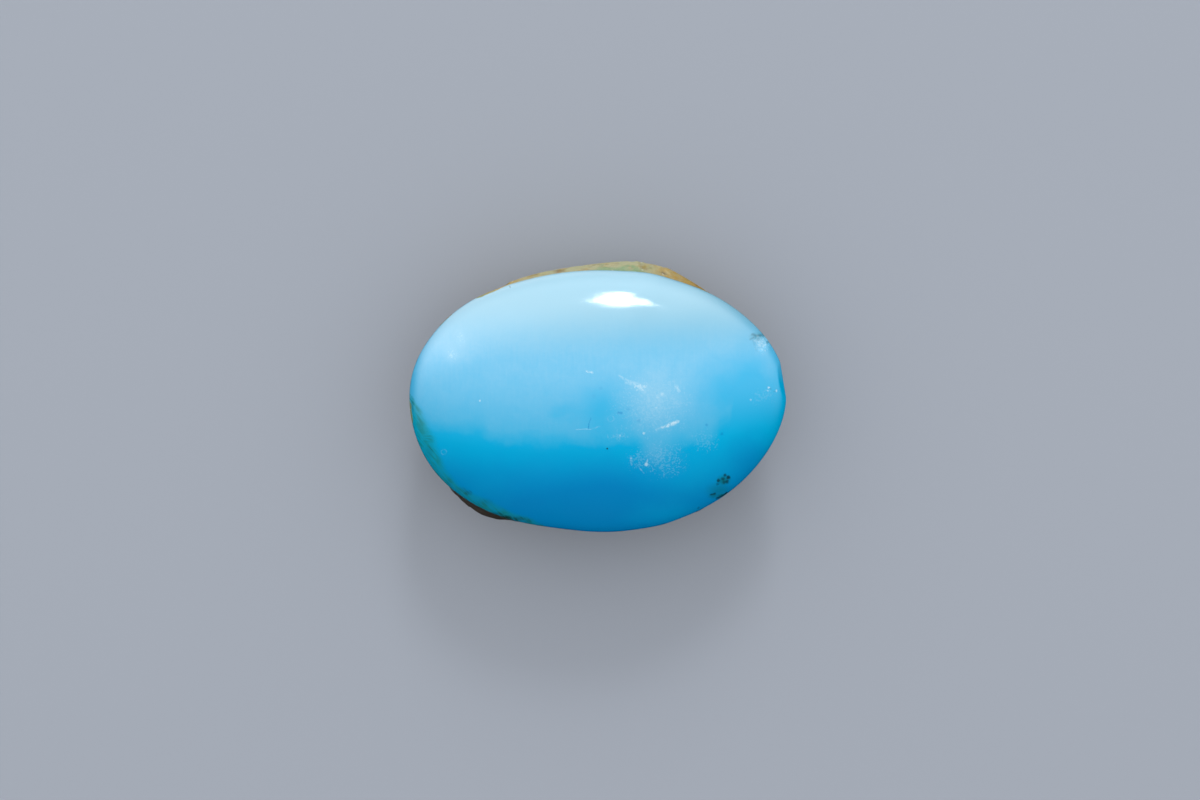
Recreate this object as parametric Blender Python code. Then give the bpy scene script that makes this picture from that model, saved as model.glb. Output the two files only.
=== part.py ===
# A turquoise stone as one solid: a polished oval dome on the rough matrix that it grew in.
# It lies on the flat ground into its back, with the dome up. Metres, +Z up, +X along its length.
# The origin is at the middle of its box, on the surface that it lies on.

import math

import bmesh
import bpy
from mathutils import Vector, noise

MM = 0.001

# The polished face
RIM_LENGTH = 20.0 * MM
RIM_WIDTH = 13.85 * MM
DOME_HEIGHT = 3.0 * MM
DOME_LAST_LEAN = 84.0  # degrees from upright at which the dome meets the rim
FACE_WAVE = 0.035 * MM
FACE_WAVE_SIZE = 5.5 * MM

# The matrix behind it
BACK_DEPTH = 5.0 * MM
FOOT_MIDDLE = (1.1 * MM, -0.1 * MM)
FOOT_LENGTH = 7.4 * MM
FOOT_WIDTH = 6.6 * MM
FOOT_SWELLS = (
    (30.0, 24.0, 0.10),
    (84.0, 18.0, -0.08),
    (140.0, 20.0, 0.09),
    (205.0, 26.0, -0.07),
    (258.0, 16.0, 0.08),
    (312.0, 20.0, -0.06),
)

# Where the rim swells from a plain oval or falls short of it: direction, spread, share of the reach
RIM_SWELLS = (
    (23.0, 57.0, 0.018),
    (55.0, 12.0, 0.007),
    (74.0, 7.0, 0.012),
    (132.0, 14.0, 0.015),
    (189.0, 26.0, -0.034),
    (210.0, 61.0, 0.034),
    (258.0, 13.0, -0.019),
    (290.0, 5.0, 0.005),
    (336.0, 30.0, -0.030),
)

# The flat ground into the end at +X
TIP_ANGLE = 9.6
TIP_TILT = 22.0  # degrees that it faces above level
TIP_REACH = 9.89 * MM  # from the rim's middle to the flat, at the rim's level

# The side of the matrix at eight directions: how far in its steep part ends and how deep,
# then the share of the way to the foot at the shoulder, and the shoulder's depth
SIDE_ANGLE_STEP = 45.0
SIDES = (
    (0.75 * MM, 1.7 * MM, 0.46, 3.45 * MM),
    (0.40 * MM, 2.0 * MM, 0.42, 3.60 * MM),
    (0.10 * MM, 2.5 * MM, 0.38, 3.90 * MM),
    (0.25 * MM, 2.3 * MM, 0.44, 3.60 * MM),
    (0.70 * MM, 2.1 * MM, 0.48, 3.35 * MM),
    (0.20 * MM, 1.9 * MM, 0.42, 3.50 * MM),
    (0.50 * MM, 1.9 * MM, 0.44, 3.60 * MM),
    (0.80 * MM, 1.7 * MM, 0.46, 3.50 * MM),
)

# Where the matrix stands out past the rim: direction, spread, how far, at what depth, over what depth
BULGES = (
    (74.0, 16.0, 0.52 * MM, 1.4 * MM, 1.3 * MM),
    (105.0, 18.0, 0.11 * MM, 1.1 * MM, 1.0 * MM),
    (235.0, 12.0, 0.44 * MM, 0.9 * MM, 0.8 * MM),
    (303.0, 7.0, 0.32 * MM, 0.6 * MM, 0.5 * MM),
)

# Hollows in the matrix: direction, depth below the rim, radius, how deep they go
HOLLOW_FLOOR = 0.35  # share of the radius that is at full depth
HOLLOW_EDGE = 1.35  # share of the radius at which the hollow has run out
HOLLOWS = (
    (18.0, 2.5 * MM, 1.0 * MM, 0.50 * MM),
    (66.0, 3.3 * MM, 1.2 * MM, 0.55 * MM),
    (148.0, 2.6 * MM, 1.1 * MM, 0.50 * MM),
    (196.0, 3.4 * MM, 1.2 * MM, 0.45 * MM),
    (262.0, 2.2 * MM, 1.0 * MM, 0.55 * MM),
    (318.0, 3.1 * MM, 1.2 * MM, 0.55 * MM),
)

# The matrix's own relief
LUMP_SIZE = 2.6 * MM
LUMP_HEIGHT = 0.30 * MM
LUMP_OCTAVES = 3
LUMP_FINER = 2.1  # each octave is this many times finer than the one before
LUMP_FADING = 0.9
COBBLE_SIZE = 1.5 * MM
COBBLE_HEIGHT = 0.22 * MM
COBBLE_SLOPE = 0.6  # in cobble sizes, how far from a crevice a cobble reaches its full height
LEDGE_STEP = 0.95 * MM
LEDGE_HEIGHT = 0.17 * MM
LEDGE_RUN = 0.8  # share of a step over which a ledge comes in
LEDGE_WANDER = 0.75  # in steps, how far a ledge strays from level
LEDGE_WANDER_SIZE = 4.4 * MM
RELIEF_STARTS = (0.10 * MM, 0.90 * MM)
RELIEF_ENDS = (0.00 * MM, 0.60 * MM)
LEAST_LIFT = 0.5  # of a place's height above the foot, which its relief may take it down to

# The side that is worn smooth: direction, spread, how much of the relief has gone
WORN = (88.0, 32.0, 0.80)

# The mesh
TURNS = 112
DOME_RINGS = 13
SIDE_RINGS = 20

SHARP_ANGLE = math.radians(38.0)

STONE_COLOUR = (0.055, 0.440, 0.720, 1.0)
STONE_ROUGHNESS = 0.22


def smooth_step(value, low, high):
    share = min(max((value - low) / (high - low), 0.0), 1.0)
    return share * share * (3.0 - 2.0 * share)


def swell(angle, middle, spread):
    """One at the middle direction, falling to nothing to both sides of it."""
    gap = (angle - middle + 180.0) % 360.0 - 180.0
    return math.exp(-((gap / spread) ** 2))


def outward(angle):
    turn = math.radians(angle)
    return Vector((math.cos(turn), math.sin(turn), 0.0))


def oval_point(angle, length, width, share=1.0):
    turn = math.radians(angle)
    return Vector((length / 2 * share * math.cos(turn), width / 2 * share * math.sin(turn), 0.0))


def swelling(angle, swells):
    return sum(amount * swell(angle, middle, spread) for middle, spread, amount in swells)


def rim_point(angle, share=1.0):
    """A place on the rim, or the same share of the way to it from the middle."""
    reach = share * (1.0 + swelling(angle, RIM_SWELLS) * share)
    return oval_point(angle, RIM_LENGTH, RIM_WIDTH, reach)


def foot_point(angle):
    """A place on the edge of the flat that the stone lies on."""
    edge = oval_point(angle, FOOT_LENGTH, FOOT_WIDTH, 1.0 + swelling(angle, FOOT_SWELLS))
    return edge + Vector((*FOOT_MIDDLE, -BACK_DEPTH))


def ground_flat(place):
    """The place, moved in to the flat that is ground into the end of the stone."""
    tilt = math.radians(TIP_TILT)
    facing = outward(TIP_ANGLE) * math.cos(tilt) + Vector((0.0, 0.0, math.sin(tilt)))
    over = facing.dot(place) - TIP_REACH * math.cos(tilt)
    return place - outward(TIP_ANGLE) * (max(over, 0.0) / math.cos(tilt))


def face_point(angle, share):
    """A place on the dome, from its top at share 0 to the rim at share 1, measured from the rim's level."""
    last = math.radians(DOME_LAST_LEAN)
    lean = last * share
    height = (math.cos(lean) - math.cos(last)) / (1.0 - math.cos(last))
    place = rim_point(angle, math.sin(lean) / math.sin(last))
    wave = FACE_WAVE * noise.noise(place / FACE_WAVE_SIZE) * (1.0 - share**4)
    place.z = DOME_HEIGHT * height + wave
    return ground_flat(place)


def side_shape(angle):
    """The four numbers of the matrix's side at a direction, eased between its neighbours in SIDES."""
    turn = (angle % 360.0) / SIDE_ANGLE_STEP
    first = int(turn)
    share = smooth_step(turn - first, 0.0, 1.0)
    before = SIDES[first % len(SIDES)]
    after = SIDES[(first + 1) % len(SIDES)]
    return [a + (b - a) * share for a, b in zip(before, after)]


def curve_through(before, start, end, after, share):
    """A smooth curve from start to end that heads as its neighbours say."""
    leaving = (end - before) / 2
    arriving = (after - start) / 2
    square = share * share
    cube = square * share
    return (
        start * (2 * cube - 3 * square + 1)
        + leaving * (cube - 2 * square + share)
        + end * (3 * square - 2 * cube)
        + arriving * (cube - square)
    )


def side_point(angle, share):
    """A place on the back, from the rim at share 0 to the foot's edge at share 1, with no relief."""
    wall_in, wall_depth, shoulder_share, shoulder_depth = side_shape(angle)
    rim = ground_flat(rim_point(angle))
    foot = foot_point(angle)
    wall = rim - outward(angle) * wall_in
    wall.z = -wall_depth
    shoulder = rim.lerp(foot, shoulder_share)
    shoulder.z = -shoulder_depth
    stops = [rim + (rim - wall) * 0.5, rim, wall, shoulder, foot, foot + (foot - shoulder) * 0.5]
    along = share * 3.0
    stop = min(int(along), 2)
    place = curve_through(*stops[stop : stop + 4], along - stop)
    for middle, spread, reach, depth, over in BULGES:
        rise = math.exp(-(((-place.z - depth) / over) ** 2)) * smooth_step(-place.z, 0.0, depth)
        place = place + outward(angle) * reach * swell(angle, middle, spread) * rise
    return place


def matrix_relief(place):
    """Lumps, cobbles and ledges of the matrix: how far the surface stands out at a place."""
    lumps = noise.fractal(place / LUMP_SIZE, LUMP_FADING, LUMP_FINER, LUMP_OCTAVES)
    near, second = noise.voronoi(place / COBBLE_SIZE)[0][:2]
    cobbles = min(second - near, COBBLE_SLOPE) - COBBLE_SLOPE / 2
    level = -place.z / LEDGE_STEP + LEDGE_WANDER * noise.noise(place / LEDGE_WANDER_SIZE)
    ledge = smooth_step(level % 1.0, 0.0, LEDGE_RUN) - 0.5
    return LUMP_HEIGHT * lumps + COBBLE_HEIGHT * cobbles - LEDGE_HEIGHT * ledge


def hollow_at(place):
    """How far the hollows in the matrix take the surface in at a place."""
    depth = 0.0
    for angle, below, radius, deep in HOLLOWS:
        middle = rim_point(angle)
        middle.z = -below
        across = (place - middle).length
        depth += deep * (1.0 - smooth_step(across, HOLLOW_FLOOR * radius, HOLLOW_EDGE * radius))
    return depth


def room_under_rim(place):
    """How much further out a place on the back could be and still be hidden under the rim."""
    angle = math.degrees(math.atan2(place.y / RIM_WIDTH, place.x / RIM_LENGTH))
    return max(rim_point(angle).length - place.xy.length, 0.0)


def weathered(place, facing):
    """A place on the back with the matrix's relief, which fades out at the rim and at the foot."""
    below_rim = smooth_step(-place.z, *RELIEF_STARTS)
    above_foot = smooth_step(place.z + BACK_DEPTH, *RELIEF_ENDS)
    middle, spread, gone = WORN
    left = 1.0 - gone * swell(math.degrees(math.atan2(place.y, place.x)), middle, spread)
    out = (matrix_relief(place) * left - hollow_at(place)) * below_rim * above_foot
    moved = place + facing * min(out, room_under_rim(place))
    lowest = (place.z + BACK_DEPTH) * LEAST_LIFT - BACK_DEPTH
    moved.z = max(moved.z, lowest)
    return moved


def ring_of(mesh, point_at, share):
    return [mesh.verts.new(point_at(360.0 * turn / TURNS, share)) for turn in range(TURNS)]


def join_rings(mesh, upper, lower):
    for turn in range(TURNS):
        after = (turn + 1) % TURNS
        mesh.faces.new((upper[turn], lower[turn], lower[after], upper[after]))


def model_stone():
    """The whole stone as one closed mesh, measured from the middle of the rim."""
    mesh = bmesh.new()
    top = mesh.verts.new(face_point(0.0, 0.0))
    rings = [ring_of(mesh, face_point, step / DOME_RINGS) for step in range(1, DOME_RINGS + 1)]
    side = [ring_of(mesh, side_point, step / SIDE_RINGS) for step in range(1, SIDE_RINGS + 1)]
    first = rings[0]
    for turn in range(TURNS):
        mesh.faces.new((top, first[turn], first[(turn + 1) % TURNS]))
    rings += side
    for upper, lower in zip(rings, rings[1:]):
        join_rings(mesh, upper, lower)
    mesh.faces.new(reversed(rings[-1]))
    mesh.normal_update()
    moved = [(vert, weathered(vert.co, vert.normal)) for ring in side[:-1] for vert in ring]
    for vert, place in moved:
        vert.co = place
    return mesh


def set_on_foot(mesh):
    """Move the mesh so that its box stands on the origin, with the foot on the ground."""
    sides = [[vert.co[axis] for vert in mesh.verts] for axis in range(2)]
    middle = [(min(side) + max(side)) / 2 for side in sides]
    bmesh.ops.translate(mesh, verts=mesh.verts, vec=(-middle[0], -middle[1], BACK_DEPTH))


def stone_material():
    material = bpy.data.materials.new("turquoise")
    material.use_nodes = True
    shader = material.node_tree.nodes["Principled BSDF"]
    shader.inputs["Base Color"].default_value = STONE_COLOUR
    shader.inputs["Roughness"].default_value = STONE_ROUGHNESS
    shader.inputs["Metallic"].default_value = 0.0
    return material


def add_stone():
    shape = model_stone()
    set_on_foot(shape)
    mesh = bpy.data.meshes.new("turquoise_stone")
    shape.to_mesh(mesh)
    shape.free()
    mesh.shade_smooth()
    mesh.set_sharp_from_angle(angle=SHARP_ANGLE)
    mesh.materials.append(stone_material())
    stone = bpy.data.objects.new("turquoise_stone", mesh)
    bpy.context.scene.collection.objects.link(stone)
    return stone


def main():
    for item in list(bpy.data.objects):
        bpy.data.objects.remove(item, do_unlink=True)
    add_stone()


main()
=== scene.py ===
import math

import bmesh
import bpy
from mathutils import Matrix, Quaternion, Vector, noise


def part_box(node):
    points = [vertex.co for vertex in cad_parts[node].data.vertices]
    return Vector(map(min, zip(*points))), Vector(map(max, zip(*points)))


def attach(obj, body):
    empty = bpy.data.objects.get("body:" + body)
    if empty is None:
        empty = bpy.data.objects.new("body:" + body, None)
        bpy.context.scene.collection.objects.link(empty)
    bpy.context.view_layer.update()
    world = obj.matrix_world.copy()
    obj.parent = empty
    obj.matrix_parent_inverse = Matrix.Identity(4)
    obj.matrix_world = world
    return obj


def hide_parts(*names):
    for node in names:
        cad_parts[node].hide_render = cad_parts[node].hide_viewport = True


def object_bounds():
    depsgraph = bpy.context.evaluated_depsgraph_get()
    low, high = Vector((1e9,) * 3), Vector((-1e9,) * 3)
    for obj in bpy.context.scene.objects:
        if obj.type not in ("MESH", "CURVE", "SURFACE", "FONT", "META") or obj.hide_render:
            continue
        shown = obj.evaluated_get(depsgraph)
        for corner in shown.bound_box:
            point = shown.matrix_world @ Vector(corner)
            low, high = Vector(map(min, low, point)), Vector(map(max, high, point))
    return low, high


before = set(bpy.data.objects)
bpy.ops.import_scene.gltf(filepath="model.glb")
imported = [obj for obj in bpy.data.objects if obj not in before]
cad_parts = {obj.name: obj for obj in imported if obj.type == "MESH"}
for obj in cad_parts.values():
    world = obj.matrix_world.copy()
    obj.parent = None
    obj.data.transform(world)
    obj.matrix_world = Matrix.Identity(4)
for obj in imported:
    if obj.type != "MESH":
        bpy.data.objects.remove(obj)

bl_info = {
    "name": "Turquoise stone",
    "version": (1, 0, 0),
    "blender": (4, 5, 0),
    "location": "3D View > Sidebar > Stone",
    "description": "A polished turquoise dome on its rough matrix, with a studio stage to see it on",
    "category": "Add Mesh",
}

NODE = "turquoise_stone"
CAD_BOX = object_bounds()
NODE_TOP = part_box(NODE)[1][2]

MM = 0.001

# The form that follows, down to the worn side, is the solid's own

# The polished face
RIM_LENGTH = 20.0 * MM
RIM_WIDTH = 13.85 * MM
DOME_HEIGHT = 3.0 * MM
DOME_LAST_LEAN = 84.0  # degrees from upright at which the dome meets the rim
FACE_WAVE = 0.035 * MM
FACE_WAVE_SIZE = 5.5 * MM

# The matrix behind it
BACK_DEPTH = NODE_TOP - DOME_HEIGHT
RIM_MIDDLE = Vector((-0.015 * MM, -0.207 * MM, BACK_DEPTH))
FOOT_MIDDLE = (1.1 * MM, -0.1 * MM)
FOOT_LENGTH = 7.4 * MM
FOOT_WIDTH = 6.6 * MM
FOOT_SWELLS = (
    (30.0, 24.0, 0.10),
    (84.0, 18.0, -0.08),
    (140.0, 20.0, 0.09),
    (205.0, 26.0, -0.07),
    (258.0, 16.0, 0.08),
    (312.0, 20.0, -0.06),
)

# Where the rim swells from a plain oval or falls short of it: direction, spread, share of the reach
RIM_SWELLS = (
    (23.0, 57.0, 0.018),
    (55.0, 12.0, 0.007),
    (74.0, 7.0, 0.012),
    (132.0, 14.0, 0.015),
    (189.0, 26.0, -0.034),
    (210.0, 61.0, 0.034),
    (258.0, 13.0, -0.019),
    (290.0, 5.0, 0.005),
    (336.0, 30.0, -0.030),
)

# The flat ground into the end at +X
TIP_ANGLE = 9.6
TIP_TILT = 22.0  # degrees that it faces above level
TIP_REACH = 9.89 * MM  # from the rim's middle to the flat, at the rim's level

# The side of the matrix at eight directions: how far in its steep part ends and how deep,
# then the share of the way to the foot at the shoulder, and the shoulder's depth
SIDE_ANGLE_STEP = 45.0
SIDES = (
    (0.75 * MM, 1.7 * MM, 0.46, 3.45 * MM),
    (0.40 * MM, 2.0 * MM, 0.42, 3.60 * MM),
    (0.10 * MM, 2.5 * MM, 0.38, 3.90 * MM),
    (0.25 * MM, 2.3 * MM, 0.44, 3.60 * MM),
    (0.70 * MM, 2.1 * MM, 0.48, 3.35 * MM),
    (0.20 * MM, 1.9 * MM, 0.42, 3.50 * MM),
    (0.50 * MM, 1.9 * MM, 0.44, 3.60 * MM),
    (0.80 * MM, 1.7 * MM, 0.46, 3.50 * MM),
)

# Where the matrix stands out past the rim: direction, spread, how far, at what depth, over what depth
BULGES = (
    (74.0, 16.0, 0.52 * MM, 1.4 * MM, 1.3 * MM),
    (105.0, 18.0, 0.11 * MM, 1.1 * MM, 1.0 * MM),
    (235.0, 12.0, 0.44 * MM, 0.9 * MM, 0.8 * MM),
    (303.0, 7.0, 0.32 * MM, 0.6 * MM, 0.5 * MM),
)

# Hollows in the matrix: direction, depth below the rim, radius, how deep they go
HOLLOW_FLOOR = 0.35  # share of the radius that is at full depth
HOLLOW_EDGE = 1.35  # share of the radius at which the hollow has run out
HOLLOWS = (
    (18.0, 2.5 * MM, 1.0 * MM, 0.50 * MM),
    (66.0, 3.3 * MM, 1.2 * MM, 0.55 * MM),
    (148.0, 2.6 * MM, 1.1 * MM, 0.50 * MM),
    (196.0, 3.4 * MM, 1.2 * MM, 0.45 * MM),
    (262.0, 2.2 * MM, 1.0 * MM, 0.55 * MM),
    (318.0, 3.1 * MM, 1.2 * MM, 0.55 * MM),
)

# The matrix's broad relief
LUMP_SIZE = 2.6 * MM
LUMP_HEIGHT = 0.30 * MM
LUMP_OCTAVES = 3
LUMP_FINER = 2.1  # each octave is this many times finer than the one before
LUMP_FADING = 0.9
COBBLE_SIZE = 1.5 * MM
COBBLE_HEIGHT = 0.22 * MM
COBBLE_SLOPE = 0.6  # in cobble sizes, how far from a crevice a cobble reaches its full height
LEDGE_STEP = 0.95 * MM
LEDGE_HEIGHT = 0.17 * MM
LEDGE_RUN = 0.8  # share of a step over which a ledge comes in
LEDGE_WANDER = 0.75  # in steps, how far a ledge strays from level
LEDGE_WANDER_SIZE = 4.4 * MM
RELIEF_STARTS = (0.10 * MM, 0.90 * MM)
RELIEF_ENDS = (0.00 * MM, 0.60 * MM)
LEAST_LIFT = 0.5  # of a place's height above the foot, which its relief may take it down to

# The side that is worn smooth: direction, spread, how much of the relief has gone
WORN = (88.0, 32.0, 0.80)

# The matrix's fine relief
GRAIN_SIZE = 0.32 * MM
CRACK_SIZE = 1.3 * MM
CRACK_WIDTH = 0.07  # of the noise's range
PIT_SPACING = 0.95 * MM
PIT_RADIUS = 0.34  # of the spacing, for the largest
PIT_SHARE = 0.45  # of the places that have a pit
FINE_STARTS = (0.02 * MM, 0.30 * MM)
FINE_ENDS = (0.00 * MM, 0.12 * MM)
WORN_FINE = 0.72  # of the fine relief that has gone where the broad relief has
SMOOTH_UNDER_RIM = (224.0, 13.0, 0.90)  # a smooth lip of matrix: direction, spread, how much has gone

# Where the blue gives way to the matrix: direction, depth below the rim
CONTACT_DEPTHS = (
    (0.0, 1.30 * MM),
    (22.0, 1.45 * MM),
    (48.0, 0.80 * MM),
    (57.0, 0.60 * MM),
    (62.0, 0.02 * MM),
    (117.0, 0.00 * MM),
    (123.0, -0.22 * MM),
    (127.0, -0.20 * MM),
    (131.0, 0.10 * MM),
    (150.0, 0.80 * MM),
    (171.0, 0.70 * MM),
    (178.0, 0.05 * MM),
    (182.0, -0.22 * MM),
    (188.0, -0.20 * MM),
    (194.0, 0.60 * MM),
    (207.0, 1.00 * MM),
    (220.0, 0.90 * MM),
    (225.0, 0.02 * MM),
    (246.0, 0.00 * MM),
    (256.0, 0.70 * MM),
    (274.0, 1.15 * MM),
    (292.0, 0.50 * MM),
    (298.0, 0.00 * MM),
    (307.0, 0.00 * MM),
    (315.0, 0.80 * MM),
    (336.0, 1.25 * MM),
    (360.0, 1.30 * MM),
)
CONTACT_WANDER = 0.40 * MM
CONTACT_WANDER_SIZE = 1.9 * MM
CONTACT_WANDER_FROM = (0.02 * MM, 0.60 * MM)  # depths below the rim between which it comes to wander
CONTACT_GROOVE_WIDTH = 0.16 * MM

# The photograph's frame, and the pixel where the middle of the rim is
PHOTO_WIDTH = 1200
PHOTO_HEIGHT = 800
FACE_MIDDLE_PIXEL = (597.5, 401.5)
SENSOR_WIDTH = 36.0

# The chip in the face near the end at +X
CHIP_PIXEL = (761, 343)
CHIP_RADIUS = 0.48 * MM
CHIP_GRAIN = 0.16 * MM

# The lower edge of the clouding in the blue and of the painted sheen above it, from left to right, by the
# photograph's pixels
CLOUD_AND_SHEEN_EDGE_PIXELS = (
    (405, 412),
    (438, 435),
    (478, 439),
    (492, 449),
    (600, 448),
    (630, 449),
    (655, 465),
    (684, 452),
    (708, 446),
    (728, 427),
    (744, 391),
    (790, 382),
)

# How far in from the rim the green staining reaches, by direction
STAIN_REACHES = (
    (176.0, 0.00 * MM),
    (179.0, 0.35 * MM),
    (184.0, 0.80 * MM),
    (190.0, 1.00 * MM),
    (198.0, 1.20 * MM),
    (206.0, 0.98 * MM),
    (214.0, 0.75 * MM),
    (222.0, 0.62 * MM),
    (232.0, 0.85 * MM),
    (246.0, 0.58 * MM),
    (256.0, 0.00 * MM),
)
STAIN_EDGE = 0.55  # share of its reach at which the staining starts to fade

# The fine mesh, and the fields that it carries for the material
TURNS = 480
DOME_RINGS = 74
SIDE_RINGS = 100
FOOT_RINGS = 22
SHARP_ANGLE = math.radians(50.0)
# One of the fields marks the edge of the clouding and of the painted sheen above it
FIELDS = ("matrix", "sunk", "broken", "cloud", "stain", "inner")


def smooth_step(value, low, high):
    share = min(max((value - low) / (high - low), 0.0), 1.0)
    return share * share * (3.0 - 2.0 * share)


def swell(angle, middle, spread):
    """One at the middle direction, falling to nothing to both sides of it."""
    gap = (angle - middle + 180.0) % 360.0 - 180.0
    return math.exp(-((gap / spread) ** 2))


def swelling(angle, swells):
    return sum(amount * swell(angle, middle, spread) for middle, spread, amount in swells)


def eased_between(value, stops):
    """The height of a smooth line through the stops, each a place along it and a height there."""
    for (left, low), (right, high) in zip(stops, stops[1:]):
        if value <= right:
            return low + (high - low) * smooth_step(value, left, right)
    return stops[-1][1]


def outward(angle):
    turn = math.radians(angle)
    return Vector((math.cos(turn), math.sin(turn), 0.0))


def direction_of(place):
    return math.degrees(math.atan2(place.y, place.x))


def oval_direction(place):
    """The direction of a place in the rim's own terms, in which a plain oval is evenly stepped."""
    return math.degrees(math.atan2(place.y / RIM_WIDTH, place.x / RIM_LENGTH)) % 360.0


def oval_point(angle, length, width, share=1.0):
    turn = math.radians(angle)
    return Vector((length / 2 * share * math.cos(turn), width / 2 * share * math.sin(turn), 0.0))


def rim_point(angle, share=1.0):
    """A place on the rim, or the same share of the way to it from the middle."""
    reach = share * (1.0 + swelling(angle, RIM_SWELLS) * share)
    return oval_point(angle, RIM_LENGTH, RIM_WIDTH, reach)


def inside_rim(place):
    """How far in from the rim a place is, seen from above."""
    return max(rim_point(oval_direction(place)).length - place.xy.length, 0.0)


def foot_point(angle):
    """A place on the edge of the flat that the stone lies on."""
    edge = oval_point(angle, FOOT_LENGTH, FOOT_WIDTH, 1.0 + swelling(angle, FOOT_SWELLS))
    return edge + Vector((*FOOT_MIDDLE, -BACK_DEPTH))


def foot_inside(angle, share):
    """A place on the flat foot, from its edge at share 0 to its middle at share 1."""
    middle = Vector((*FOOT_MIDDLE, -BACK_DEPTH))
    return foot_point(angle).lerp(middle, share)


def ground_flat(place):
    """The place, moved in to the flat that is ground into the end of the stone."""
    tilt = math.radians(TIP_TILT)
    facing = outward(TIP_ANGLE) * math.cos(tilt) + Vector((0.0, 0.0, math.sin(tilt)))
    over = facing.dot(place) - TIP_REACH * math.cos(tilt)
    return place - outward(TIP_ANGLE) * (max(over, 0.0) / math.cos(tilt))


def dome_lift(share):
    """The plain dome's height above the rim, as a share of its full height, at a share of its last lean."""
    last = math.radians(DOME_LAST_LEAN)
    return (math.cos(last * share) - math.cos(last)) / (1.0 - math.cos(last))


def face_point(angle, share):
    """A place on the dome, from its top at share 0 to the rim at share 1, measured from the rim's level."""
    last = math.radians(DOME_LAST_LEAN)
    place = rim_point(angle, math.sin(last * share) / math.sin(last))
    wave = FACE_WAVE * noise.noise(place / FACE_WAVE_SIZE) * (1.0 - share**4)
    place.z = DOME_HEIGHT * dome_lift(share) + wave
    return ground_flat(place)


def side_shape(angle):
    """The four numbers of the matrix's side at a direction, eased between its neighbours in SIDES."""
    turn = (angle % 360.0) / SIDE_ANGLE_STEP
    first = int(turn)
    share = smooth_step(turn - first, 0.0, 1.0)
    before = SIDES[first % len(SIDES)]
    after = SIDES[(first + 1) % len(SIDES)]
    return [a + (b - a) * share for a, b in zip(before, after)]


def curve_through(before, start, end, after, share):
    """A smooth curve from start to end that heads as its neighbours say."""
    leaving = (end - before) / 2
    arriving = (after - start) / 2
    square = share * share
    cube = square * share
    return (
        start * (2 * cube - 3 * square + 1)
        + leaving * (cube - 2 * square + share)
        + end * (3 * square - 2 * cube)
        + arriving * (cube - square)
    )


def side_point(angle, share):
    """A place on the back, from the rim at share 0 to the foot's edge at share 1, with no relief."""
    wall_in, wall_depth, shoulder_share, shoulder_depth = side_shape(angle)
    rim = ground_flat(rim_point(angle))
    foot = foot_point(angle)
    wall = rim - outward(angle) * wall_in
    wall.z = -wall_depth
    shoulder = rim.lerp(foot, shoulder_share)
    shoulder.z = -shoulder_depth
    stops = [rim + (rim - wall) * 0.5, rim, wall, shoulder, foot, foot + (foot - shoulder) * 0.5]
    along = share * 3.0
    stop = min(int(along), 2)
    place = curve_through(*stops[stop : stop + 4], along - stop)
    for middle, spread, reach, depth, over in BULGES:
        rise = math.exp(-(((-place.z - depth) / over) ** 2)) * smooth_step(-place.z, 0.0, depth)
        place = place + outward(angle) * reach * swell(angle, middle, spread) * rise
    return place


def matrix_relief(place):
    """Lumps, cobbles and ledges of the matrix: how far the surface stands out at a place."""
    lumps = noise.fractal(place / LUMP_SIZE, LUMP_FADING, LUMP_FINER, LUMP_OCTAVES)
    near, second = noise.voronoi(place / COBBLE_SIZE)[0][:2]
    cobbles = min(second - near, COBBLE_SLOPE) - COBBLE_SLOPE / 2
    level = -place.z / LEDGE_STEP + LEDGE_WANDER * noise.noise(place / LEDGE_WANDER_SIZE)
    ledge = smooth_step(level % 1.0, 0.0, LEDGE_RUN) - 0.5
    return LUMP_HEIGHT * lumps + COBBLE_HEIGHT * cobbles - LEDGE_HEIGHT * ledge


def hollow_at(place):
    """How far the hollows in the matrix take the surface in at a place."""
    depth = 0.0
    for angle, below, radius, deep in HOLLOWS:
        middle = rim_point(angle)
        middle.z = -below
        across = (place - middle).length
        depth += deep * (1.0 - smooth_step(across, HOLLOW_FLOOR * radius, HOLLOW_EDGE * radius))
    return depth


def grain_at(place):
    """The sandy grain of the matrix, higher on its grains than between them."""
    return 0.45 - noise.voronoi(place / GRAIN_SIZE)[0][0]


def crack_at(place):
    """One at the bottom of a crack, nothing away from it."""
    wander = noise.fractal(place / CRACK_SIZE, 1.0, 2.0, 2)
    return 1.0 - smooth_step(abs(wander), 0.0, CRACK_WIDTH)


def pit_at(place):
    """How deep a place lies in a round pit. Some cells of the matrix hold one, and its size varies."""
    distances, middles = noise.voronoi(place / PIT_SPACING)
    chance = abs(noise.cell(middles[0] * 7.3)) / PIT_SHARE
    if chance > 1.0:
        return 0.0
    size = 0.45 + 0.55 * chance
    radius = PIT_RADIUS * size
    return size * (1.0 - smooth_step(distances[0], radius * 0.35, radius))


def past_contact(place):
    """How far a place is into the matrix from the line where the blue ends. Negative on the blue."""
    line = eased_between(oval_direction(place), CONTACT_DEPTHS)
    wander = CONTACT_WANDER * noise.fractal(place / CONTACT_WANDER_SIZE, 0.8, 2.2, 3)
    return -place.z - line + wander * smooth_step(line, *CONTACT_WANDER_FROM)


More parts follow.
